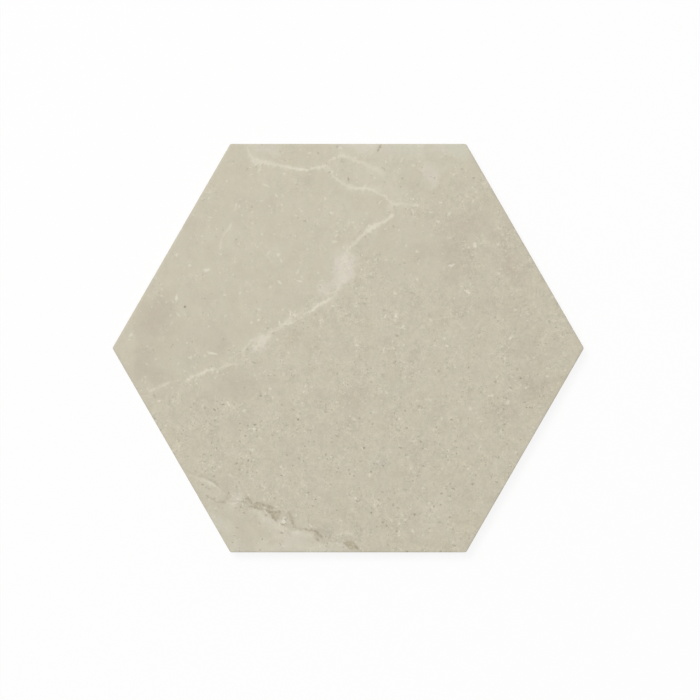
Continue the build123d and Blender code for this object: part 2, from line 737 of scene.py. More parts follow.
@dataclass(frozen=True)
class StoneGlaze:
    """The glazed face: beige stone, printed in fine grain under a matt glaze.

    Shares and strengths are factors, and a swing is how far random grain carries a value. The painted shade
    over the arris is a darker, greyer colour, and its span is the depth below the face at which it starts
    and is full. The dark marks' span is where along Y they start to gain strength and have all of it.
    Both are in millimetres. The even blotch is the tone that blotches have on the smooth stone too.
    """

    smooth_ground: Colour = (199.2, 193.0, 172.8)
    grainy_ground: Colour = (198.4, 191.7, 171.9)
    vein: Colour = (217.0, 210.3, 192.3)
    crack: Colour = (168.0, 158.5, 137.0)
    # Painted shade over the arris: darker and greyer than the face
    arris_shade: Colour = (187.0, 184.5, 174.0)
    arris_shade_share: float = 0.6
    arris_shade_span: Span = (0.2, 0.55)
    roughness: float = 0.55
    vein_roughness: float = -0.05
    crack_roughness: float = 0.15
    bump_depth: float = 0.03
    fine: Grain = Grain(0.42, 1.0, 0.0, 0.155, 0.3)
    small: Grain = Grain(0.85, 2.0, 0.0, 0.135, 0.4)
    medium: Grain = Grain(1.9, 3.0, 1.0, 0.15, 0.4, 0.12)
    blotch: Grain = Grain(4.6, 4.0, 1.0, 0.12, 0.0, 0.1)
    even_blotch: float = 0.03
    mottle: Grain = Grain(15.0, 5.0, 1.5, 0.06)
    hue: Grain = Grain(12.0, 6.0, 1.0)
    hue_swing: float = 1.5
    crowds: Grain = Grain(9.0, 7.0, 1.0)
    crowd_swing: float = 8.0
    crowd_share: float = 0.25
    least_crowd: float = 0.1
    crumbs: tuple[Crumb, ...] = (Crumb(1.4, 0.05), Crumb(3.4, 0.036))
    slab_smoothness: float = 0.57
    calm_smoothness: float = 0.6
    calm_share: float = 0.3
    placed_strength: float = 1.15
    pale_strength: float = 0.65
    dark_strength: float = 0.42
    dark_gain: float = 0.36
    dark_span: Span = (10.0, -35.0)
    umber_swing: float = 3.0
    crack_share: float = 0.9
    crack_swing: float = 2.0

    def material(self, stone: Stone, face_height: float) -> bpy.types.Material:
        """Builds the finish.

        Args:
            stone: What the print shows.
            face_height: Height of the face above the back, in millimetres.

        Returns:
            The material.
        """
        graph = MaterialGraph("stone_print_under_matt_glaze")
        place = graph.place()
        ragged = stone.ragged(graph, place)
        drifting = stone.drifting(graph, place)
        fine = self.fine.drawn(graph, place)
        small = self.small.drawn(graph, place)
        medium = self.medium.drawn(graph, place)
        blotch = self.blotch.drawn(graph, place)
        mottle = self.mottle.drawn(graph, place)
        hue = self.hue.drawn(graph, place) * self.hue_swing
        crowds = self.crowds.drawn(graph, place) * self.crowd_swing
        crowding = graph.math("MAXIMUM", 1 + crowds, self.least_crowd)
        slab = stone.slab(graph, drifting)
        calm = stone.calms.mask(graph, drifting)
        grainy = (1 - slab * self.slab_smoothness) * (1 - calm * self.calm_smoothness)

        # Ground and washes
        colour = graph.mixed(slab, linear(self.grainy_ground), linear(self.smooth_ground))
        colour = graph.mixed(hue, colour, linear(stone.roses.colour))
        colour = graph.mixed(0 - hue, colour, linear(stone.olives.colour))
        colour = graph.mixed(calm * self.calm_share, colour, linear(stone.calms.colour))
        for wash in (stone.roses, stone.olives, stone.smokes, stone.mists, stone.clouds):
            colour = graph.mixed(wash.mask(graph, drifting), colour, linear(wash.colour))

        # Veins and cracks
        veins = stone.drawn(graph, ragged, Ink.PALE)
        cracks = stone.drawn(graph, ragged, Ink.DARK)
        colour = graph.mixed(veins, colour, linear(self.vein))
        umber = stone.umbers.mask(graph, ragged) * (1 + small * self.umber_swing)
        colour = graph.mixed(umber, colour, linear(stone.umbers.colour))
        crack = cracks * (self.crack_share + small * self.crack_swing)
        colour = graph.mixed(crack, colour, linear(self.crack))

        # Flecks and specks, those listed one by one and those strewn
        strewn = stone.strewn(graph, ragged, stone.pale_marks, crowding) * self.pale_strength
        flecks = stone.flecks.mask(graph, ragged) * self.placed_strength + strewn
        colour = graph.mixed(flecks, colour, linear(stone.flecks.colour))
        below = graph.smooth(graph.parts(drifting)[1], *self.dark_span)
        strewn = stone.strewn(graph, ragged, stone.dark_marks, crowding * grainy)
        specks = stone.specks.mask(graph, ragged) * self.placed_strength
        specks = specks + strewn * (self.dark_strength + below * self.dark_gain)
        colour = graph.mixed(specks, colour, linear(stone.specks.colour))

        # Grain, and painted shade over the arris, darker and greyer towards the edge
        grain = fine * self.fine.tone + small * self.small.tone + medium * self.medium.tone
        grain = grain + blotch * self.blotch.tone
        for crumb in self.crumbs:
            grain = grain + crumb.drawn(graph, ragged)
        patchy = grainy * (1 - self.crowd_share + crowding * self.crowd_share)
        tone = 1 + patchy * grain + blotch * self.even_blotch + mottle * self.mottle.tone
        colour = graph.vector("SCALE", colour, tone)
        # Painted shade: the arris darker and greyer, from where the face starts to round over
        arris_shade = graph.smooth(face_height - graph.parts(place)[2], *self.arris_shade_span)
        colour = graph.mixed(arris_shade * self.arris_shade_share, colour, linear(self.arris_shade))

        roughness = self.roughness + medium * self.medium.roughness + blotch * self.blotch.roughness
        roughness = roughness + cracks * self.crack_roughness + veins * self.vein_roughness
        relief = fine * self.fine.relief + small * self.small.relief + medium * self.medium.relief
        return graph.surface(colour, roughness, 0.5 + relief, self.bump_depth)


@dataclass(frozen=True)
class Effect:
    """How much one part of a finish changes the tone, the roughness and the relief."""

    tone: float = 0.0
    roughness: float = 0.0
    relief: float = 0.0


@dataclass(frozen=True)
class BareBody:
    """The unglazed porcelain of the sides and the back, with glaze that ran over the edge and kiln wash.

    Press marks and upright streaks vary the body, and a share of its coarse grains is a dark mineral. The
    wash is on the lowest part of the ribs. The run is the glaze's depth on the sides in millimetres, uneven
    by the streaks and the press marks.
    """

    ground: Colour = (206.0, 199.0, 185.0)
    dark_mineral: Colour = (172.0, 163.0, 148.0)
    kiln_wash: Colour = (226.0, 222.0, 214.0)
    glaze: Colour = (198.0, 192.0, 174.0)
    press: Effect = Effect(0.14, 0.2, 0.9)
    press_scale: float = 1.4
    streak: Effect = Effect(0.06, 0.0, 0.2)
    streak_scale: float = 0.5
    streak_stretch: float = 0.12
    mineral: Effect = Effect(relief=-0.3)
    mineral_scale: float = 0.7
    mineral_span: Span = (0.3, 0.1)
    mineral_chance: float = 0.35
    mineral_share: float = 0.6
    wash: Effect = Effect(roughness=0.1)
    wash_grain: Grain = Grain(6.0, 7.0, 3.0)
    wash_span: Span = (-0.12, 0.12)
    wash_share: float = 0.75
    rib_part: float = 0.3
    run: Effect = Effect(roughness=-0.25, relief=0.4)
    run_depth: float = 1.3
    run_fade: float = 0.6
    run_streaks: float = 3.0
    run_press: float = 0.8
    run_share: float = 0.85
    roughness: float = 0.82
    bump_depth: float = 0.06

    def material(self, face_height: float, rib_height: float) -> bpy.types.Material:
        """Builds the finish.

        Args:
            face_height: Height of the face above the back, in millimetres.
            rib_height: How far the ribs of the back stand out, in millimetres.

        Returns:
            The material.
        """
        graph = MaterialGraph("bare_porcelain")
        place = graph.place()
        height = graph.parts(place)[2]
        solid = graph.node("ShaderNodeTexNoise", {"noise_dimensions": "3D"},
                           {"Vector": place, "Scale": self.press_scale, "Detail": 2.0, "Roughness": 0.6})
        press = Term(graph, solid.outputs[0]) - 0.5
        cells = graph.node("ShaderNodeTexVoronoi", {"voronoi_dimensions": "3D"},
                           {"Vector": place, "Scale": self.mineral_scale})
        chosen = graph.parts(cells.outputs["Color"])[0] < self.mineral_chance
        mineral = graph.smooth(Term(graph, cells.outputs["Distance"]), *self.mineral_span) * chosen
        upright = graph.vector("MULTIPLY", place, (1.0, 1.0, self.streak_stretch))
        streaks = graph.node("ShaderNodeTexNoise", {"noise_dimensions": "3D"},
                             {"Vector": upright, "Scale": self.streak_scale, "Detail": 2.0})
        streak = Term(graph, streaks.outputs[0]) - 0.5
        on_rib = graph.smooth(height, rib_height * self.rib_part, 0.0)
        wash = on_rib * graph.smooth(self.wash_grain.drawn(graph, place), *self.wash_span)
        edge = face_height - height + streak * self.run_streaks + press * self.run_press
        run = graph.smooth(edge, self.run_depth, self.run_depth * self.run_fade)

        colour = graph.mixed(mineral * self.mineral_share, linear(self.ground), linear(self.dark_mineral))
        colour = graph.mixed(wash * self.wash_share, colour, linear(self.kiln_wash))
        colour = graph.mixed(run * self.run_share, colour, linear(self.glaze))
        tone = 1 + press * self.press.tone + streak * self.streak.tone
        colour = graph.vector("SCALE", colour, tone)
        roughness = self.roughness + press * self.press.roughness
        roughness = roughness + run * self.run.roughness + wash * self.wash.roughness
        relief = 0.5 + press * self.press.relief + streak * self.streak.relief
        relief = relief + mineral * self.mineral.relief + run * self.run.relief
        return graph.surface(colour, roughness, relief, self.bump_depth)


@dataclass(frozen=True)
class TileBody:
    """The pressed and fired tile, one piece from its glazed face to its ribbed back.

    Lengths are in millimetres and angles in degrees. The insets of a pocket's mouth and floor are multiples
    of its lip, the veins' rise is a share of the relief's depth, and the glaze's reach down is a multiple
    of the arris radius.
    """

    arris_radius: float = 0.6
    corner_radius: float = 0.4
    side_draft: float = 1.5
    back_bevel: float = 0.8
    cell_pitch: float = 14.0
    rib_width: float = 2.4
    pocket_depth: float = 0.8
    pocket_draft: float = 30.0
    pocket_corner_radius: float = 1.0
    pocket_lip: float = 0.1
    mouth_inset: float = 1.6
    floor_inset: float = 1.8
    rings: int = 7
    face_cuts: int = 7
    relief_depth: float = 0.05
    relief_border: float = 3.0
    swells: tuple[Grain, ...] = (Grain(24.0, 11.0, 1.0, relief=1.0), Grain(6.0, 12.0, 1.0, relief=0.5))
    vein_rise: float = 0.3
    crack_depth: float = 0.1
    arris_steps: int = 5
    corner_steps: int = 3
    sharp_bend: float = 25.0
    glaze_reach: float = 1.02

    def build(self, stone: Stone, face_finish: bpy.types.Material, body_finish: bpy.types.Material,
              box: tuple[Vector, Vector]) -> bpy.types.Object:
        """Shapes and dresses the tile.

        Args:
            stone: What the face shows, for its relief.
            face_finish: Finish of the face and its arris.
            body_finish: Finish of the sides and the back.
            box: Lowest and highest corner of the tile, in metres.

        Returns:
            The finished piece.
        """
        graph = ShapeGraph("tile_body")
        draft = radians(self.side_draft)
        half_flats = (box[1][1] - box[0][1]) / 2
        apothem = half_flats + self.arris_radius * MM * (1 / cos(draft) + tan(draft) - 1)
        thickness = box[1][2] - box[0][2]
        inset = thickness / MM * tan(draft) + self.back_bevel
        given: dict[str, float | int] = {
            "Apothem": apothem,
            "Thickness": thickness,
            "Face Corner": (self.corner_radius + inset) * MM,
            "Arris": self.arris_radius * MM,
            "Draft": draft,
            "Bevel": self.back_bevel * MM,
            "Face Cuts": self.face_cuts,
            "Relief": self.relief_depth * MM,
            "Crack": self.crack_depth * MM,
            "Cell Pitch": self.cell_pitch * MM,
            "Rib Width": self.rib_width * MM,
            "Pocket Depth": self.pocket_depth * MM,
            "Pocket Draft": radians(self.pocket_draft),
            "Pocket Corner": self.pocket_corner_radius * MM,
            "Pocket Lip": self.pocket_lip * MM,
            "Rings": self.rings,
        }
        size = {name: graph.named(name, value) for name, value in given.items()}
        face = self.face(graph, size, stone)
        shell, back_loop = self.sides(graph, size, face)
        border = graph.node("GeometryNodeMeshToCurve", inputs={0: shell, 1: back_loop}).outputs[0]
        whole = graph.joined_geometry(shell, self.back(graph, size, border))
        whole = graph.node("GeometryNodeMergeByDistance",
                           inputs={0: whole, 2: MERGE_DISTANCE * MM}).outputs[0]
        whole = self.dressed(graph, size, whole, face_finish, body_finish)
        return graph.plain_object("tile", whole)

    def face(self, graph: ShapeGraph, size: dict[str, Term], stone: Stone) -> bpy.types.NodeSocket:
        """Makes the flat of the face up to where its corners are rounded, with the stone's relief.

        Each point of its border also stores where the tile's rounded outline starts from, and in which
        direction it lies.

        Args:
            graph: The tree to build in.
            size: The tree's inputs.
            stone: What the face shows.

        Returns:
            The face's grid.
        """
        core = size["Apothem"] - size["Face Corner"]
        disc = graph.node("GeometryNodeMeshCircle", {"fill_type": "TRIANGLE_FAN"},
                          {"Vertices": 6, "Radius": core * (2 / sqrt(3))})
        grid = graph.node("GeometryNodeSubdivideMesh",
                          inputs={0: disc.outputs[0], 1: size["Face Cuts"]}).outputs[0]

        position = graph.node("GeometryNodeInputPosition").outputs[0]
        x, y, _ = graph.parts(position)
        sector = graph.math("FLOOR", graph.math("ARCTAN2", y, x) / (pi / 3))
        middle = (sector + 0.5) * (pi / 3)
        ahead_x, ahead_y = graph.math("COSINE", middle), graph.math("SINE", middle)
        out = x * ahead_x + y * ahead_y
        along = y * ahead_x - x * ahead_y
        half_side = core * tan(pi / 6)
        step = half_side * 2 / graph.math("POWER", 2.0, size["Face Cuts"])
        from_corner = graph.math("ROUND", (half_side - abs(along)) / step)
        side_sign = graph.math("SIGN", along)
        lean = graph.math("MAXIMUM", self.corner_steps - from_corner, 0.0) * (pi / 6 / self.corner_steps)
        at_corner = from_corner < self.corner_steps + 0.5
        foot = along + at_corner * (side_sign * half_side - along)
        turned = middle + side_sign * lean
        start = graph.joined(out * ahead_x - foot * ahead_y, out * ahead_y + foot * ahead_x, 0.0)
        direction = graph.joined(graph.math("COSINE", turned), graph.math("SINE", turned), 0.0)
        for name, value in (("rim_start", start), ("rim_direction", direction)):
            grid = graph.node("GeometryNodeStoreNamedAttribute", {"data_type": "FLOAT_VECTOR"},
                              {"Geometry": grid, "Name": name, "Value": value}).outputs[0]

        place = graph.vector("SCALE", position, 1 / MM)
        ragged = stone.ragged(graph, place)
        cracks = stone.drawn(graph, ragged, Ink.DARK)
        veins = stone.drawn(graph, ragged, Ink.PALE)
        swell: Number = 0.0
        for grain in self.swells:
            swell = swell + grain.drawn(graph, place) * grain.relief
        depth = size["Relief"] * (0.5 - swell - veins * self.vein_rise) + size["Crack"] * cracks
        fade = graph.smooth(core - out, 0.0, self.relief_border * MM)
        sunk = graph.math("MAXIMUM", depth, 0.0) * fade
        return graph.moved(grid, True, graph.joined(x, y, size["Thickness"] - sunk))

    def sides(self, graph: ShapeGraph, size: dict[str, Term],
              face: bpy.types.NodeSocket) -> tuple[bpy.types.NodeSocket, bpy.types.NodeSocket]:
        """Carries the face's border out, over the arris and down to the back.

        Args:
            graph: The tree to build in.
            size: The tree's inputs.
            face: The face's grid.

        Returns:
            The face with its sides, and which of its edges are the border of the back.
        """
        arris, thickness, draft = size["Arris"], size["Thickness"], size["Draft"]
        slope = graph.math("TANGENT", draft)
        upright = graph.math("COSINE", draft)
        edge_inset = arris / upright + arris * slope
        rows = [(edge_inset, thickness)]
        for step in range(1, self.arris_steps + 1):
            angle = pi / 2 - (draft + pi / 2) * (step / self.arris_steps)
            rows.append((edge_inset - arris * graph.math("COSINE", angle),
                         thickness - arris + arris * graph.math("SINE", angle)))
        bevel_top = size["Bevel"] * upright
        rows.append(((thickness - bevel_top) * slope, bevel_top))
        rows.append((thickness * slope + size["Bevel"], 0.0))

        reading = {"data_type": "FLOAT_VECTOR"}
        start = graph.node("GeometryNodeInputNamedAttribute", reading, {"Name": "rim_start"}).outputs[0]
        direction = graph.node("GeometryNodeInputNamedAttribute", reading,
                               {"Name": "rim_direction"}).outputs[0]
        neighbours = graph.node("GeometryNodeInputMeshEdgeNeighbors").outputs[0]
        shell = face
        border = graph.math("LESS_THAN", Term(graph, neighbours), 1.5).socket
        for inset, height in rows:
            row = graph.node("GeometryNodeExtrudeMesh", {"mode": "EDGES"},
                             {"Mesh": shell, "Selection": border, "Offset Scale": 0.0})
            border = row.outputs["Top"]
            outward = graph.vector("SCALE", direction, size["Face Corner"] - inset)
            spot = graph.vector("ADD", graph.vector("ADD", start, outward), graph.joined(0.0, 0.0, height))
            shell = graph.moved(row.outputs["Mesh"], border, spot)
        return shell, border

    def back(self, graph: ShapeGraph, size: dict[str, Term],
             border: bpy.types.NodeSocket) -> bpy.types.NodeSocket:
        """Makes the back: its ribs, and the honeycomb of pockets between them.

        Args:
            graph: The tree to build in.
            size: The tree's inputs.
            border: Outline of the back.

        Returns:
            The back, facing down.
        """
        pitch, rings = size["Cell Pitch"], size["Rings"]
        row_length = rings * 2 + 1
        index = Term(graph, graph.node("GeometryNodeInputIndex").outputs[0])
        row = graph.math("FLOOR", (index + 0.5) / row_length) - rings
        column = graph.math("FLOORED_MODULO", index + 0.5, row_length) - 0.5 - rings
        centre = graph.joined((column + row * 0.5) * pitch, row * pitch * (sqrt(3) / 2), 0.0)
        points = graph.node("GeometryNodePoints",
                            inputs={"Count": row_length * row_length, "Position": centre}).outputs[0]
        inside = abs(row + column) < rings + 0.5

        apothem = (pitch - size["Rib Width"]) / 2
        outline = graph.node("GeometryNodeCurvePrimitiveCircle", {"mode": "RADIUS"},
                             {"Resolution": 6, "Radius": apothem * (2 / sqrt(3))}).outputs[0]
        outline = graph.node("GeometryNodeTransform",
                             inputs={"Geometry": outline, "Rotation": (0, 0, radians(30))}).outputs[0]
        outline = graph.node("GeometryNodeFilletCurve", {"mode": "POLY"},
                             {"Curve": outline, "Count": 1, "Radius": size["Pocket Corner"]}).outputs[0]
        cup = graph.node("GeometryNodeFillCurve", {"mode": "NGONS"}, {"Curve": outline}).outputs[0]
        lip = size["Pocket Lip"]
        wall = size["Pocket Depth"] - lip * 2
        wall_inset = wall * graph.math("TANGENT", size["Pocket Draft"])
        floor: Any = True
        steps = ((lip, lip * self.mouth_inset), (wall, wall_inset), (lip, lip * self.floor_inset))
        for rise, inset in steps:
            ring = graph.node("GeometryNodeExtrudeMesh", {"mode": "FACES"},
                              {"Mesh": cup, "Selection": floor, "Offset": graph.joined(0.0, 0.0, rise),
                               "Offset Scale": 1.0, "Individual": False})
            floor = ring.outputs["Top"]
            scale = (apothem - inset) / apothem
            apothem = apothem - inset
            cup = graph.node("GeometryNodeScaleElements",
                             inputs={0: ring.outputs["Mesh"], 1: floor, "Scale": scale}).outputs[0]
        placed = []
        for shape in (outline, cup):
            copies = graph.node("GeometryNodeInstanceOnPoints",
                                inputs={"Points": points, "Selection": inside, "Instance": shape})
            whole = graph.node("GeometryNodeRealizeInstances", inputs={0: copies.outputs[0]})
            placed.append(whole.outputs[0])
        mouths, pockets = placed
        ribs = graph.node("GeometryNodeFillCurve", {"mode": "TRIANGLES"},
                          {"Curve": graph.joined_geometry(border, mouths)}).outputs[0]
        upturned = graph.joined_geometry(ribs, pockets)
        return graph.node("GeometryNodeFlipFaces", inputs={0: upturned}).outputs[0]

    def dressed(self, graph: ShapeGraph, size: dict[str, Term], whole: bpy.types.NodeSocket,
                face_finish: bpy.types.Material, body_finish: bpy.types.Material) -> bpy.types.NodeSocket:
        """Shades the tile, makes one plain mesh of it and gives it its finishes.

        Args:
            graph: The tree to build in.
            size: The tree's inputs.
            whole: The closed tile.
            face_finish: Finish of the face and its arris.
            body_finish: Finish of the sides and the back.

        Returns:
            The dressed tile.
        """
        whole = graph.node("GeometryNodeRemoveAttribute", {"pattern_mode": "WILDCARD"},
                           {"Geometry": whole, "Name": "rim_*"}).outputs[0]
        bend = Term(graph, graph.node("GeometryNodeInputMeshEdgeAngle").outputs["Unsigned Angle"])
        whole = graph.node("GeometryNodeSetShadeSmooth", {"domain": "FACE"}, {"Geometry": whole}).outputs[0]
        sharp = bend > radians(self.sharp_bend)
        whole = graph.node("GeometryNodeSetShadeSmooth", {"domain": "EDGE"},
                           {"Geometry": whole, "Selection": sharp, "Shade Smooth": False}).outputs[0]
        whole = graph.node("GeometryNodeRealizeInstances", inputs={0: whole}).outputs[0]
        body = graph.named("Body Finish", body_finish)
        whole = graph.node("GeometryNodeSetMaterial", inputs={0: whole, 2: body}).outputs[0]
        height = graph.parts(graph.node("GeometryNodeInputPosition").outputs[0])[2]
        glazed = height > size["Thickness"] - size["Arris"] * self.glaze_reach
        face = graph.named("Face Finish", face_finish)
        return graph.node("GeometryNodeSetMaterial", inputs={0: whole, 1: glazed, 2: face}).outputs[0]


@dataclass(frozen=True)
class Studio:
    """Floor, light and camera for a tile that lies flat and is seen from straight above."""

    photo_flats_px: float = 408.7
    photo_middle_px: tuple[float, float] = (348.2, 348.1)
    lens: float = 100.0
    sensor: float = 36.0
    floor_size: float = 6000.0
    lamp_distance: float = 4200.0
    lamp_size: float = 2000.0
    lamp_azimuth: float = 128.0
    lamp_elevation: float = 62.0
    lamp_share: float = 0.52
    sky_share: float = 0.45
    floor_colour: Colour = (252.0, 252.0, 252.0)
    floor_glow: float = 0.86

    def seen_share(self, graph: Graph) -> Term:
        """One for rays that show the background: from the camera, a reflection or a transmission."""
        path = graph.node("ShaderNodeLightPath")
        total: Number = 0.0
        for ray in ("Is Camera Ray", "Is Glossy Ray", "Is Transmission Ray"):
            total = Term(graph, path.outputs[ray]) + total
        return graph.math("MINIMUM", total, 1.0)

    def floor(self, height: float) -> bpy.types.Object:
        """Lays a white floor that keeps the tile's shadow.

        Args:
            height: Height of the floor, in metres.

        Returns:
            The floor.
        """
        half = self.floor_size * MM / 2
        corners = [(x * half, y * half, height) for x, y in ((-1, -1), (1, -1), (1, 1), (-1, 1))]
        mesh = bpy.data.meshes.new("floor")
        mesh.from_pydata(corners, [], [(0, 1, 2, 3)])
        floor = bpy.data.objects.new("floor", mesh)
        bpy.context.scene.collection.objects.link(floor)
        graph = MaterialGraph("white_floor")
        lit = graph.node("ShaderNodeBsdfDiffuse", inputs={"Color": linear(self.floor_colour)})
        glow = graph.node("ShaderNodeEmission", inputs={"Color": (1, 1, 1, 1), "Strength": 1.0})
        mix = graph.node("ShaderNodeMixShader", inputs={0: self.seen_share(graph) * self.floor_glow,
                                                        1: lit.outputs[0], 2: glow.outputs[0]})
        graph.feed(graph.output.inputs["Surface"], mix.outputs[0])
        mesh.materials.append(graph.material)
        return floor

    def light(self, middle: Vector) -> None:
        """Lights the tile from one large soft lamp and an even sky.

        Args:
            middle: Middle of the tile's face, in metres.
        """
        world = bpy.data.worlds.new("studio")
        world.use_nodes = True
        bpy.context.scene.world = world
        graph = Graph(world.node_tree)
        seen = self.seen_share(graph)
        strength = self.sky_share + seen * (1 - self.sky_share)
        sky = graph.node("ShaderNodeBackground", inputs={"Color": (1, 1, 1, 1), "Strength": strength})
        graph.node("ShaderNodeOutputWorld", inputs={"Surface": sky.outputs[0]})

        azimuth, elevation = radians(self.lamp_azimuth), radians(self.lamp_elevation)
        way = Vector((cos(elevation) * cos(azimuth), cos(elevation) * sin(azimuth), sin(elevation)))
        distance = self.lamp_distance * MM
        lamp = bpy.data.lights.new("soft_lamp", "AREA")
        lamp.shape = "DISK"
        lamp.size = self.lamp_size * MM
        lamp.energy = self.lamp_share * (pi * distance) ** 2 / sin(elevation)
        holder = bpy.data.objects.new("soft_lamp", lamp)
        holder.location = middle + way * distance
        holder.rotation_euler = way.to_track_quat("Z", "Y").to_euler()
        bpy.context.scene.collection.objects.link(holder)

    def camera(self, middle: Vector, flats: float) -> bpy.types.Object:
        """Looks straight down on the tile, framed as in the photograph.

        Args:
            middle: Middle of the tile's face, in metres.
            flats: Size of the tile across its flats, in metres.

        Returns:
            The camera.
        """
        pixel = flats / self.photo_flats_px
        distance = PHOTO_PIXELS * pixel * self.lens / self.sensor
        half = PHOTO_PIXELS / 2
        data = bpy.data.cameras.new("camera")
        data.lens = self.lens
        data.sensor_width = self.sensor
        camera = bpy.data.objects.new("camera", data)
        camera.location = middle + Vector(((half - self.photo_middle_px[0]) * pixel,
                                           (self.photo_middle_px[1] - half) * pixel, distance))
        bpy.context.scene.collection.objects.link(camera)
        bpy.context.scene.camera = camera
        return camera


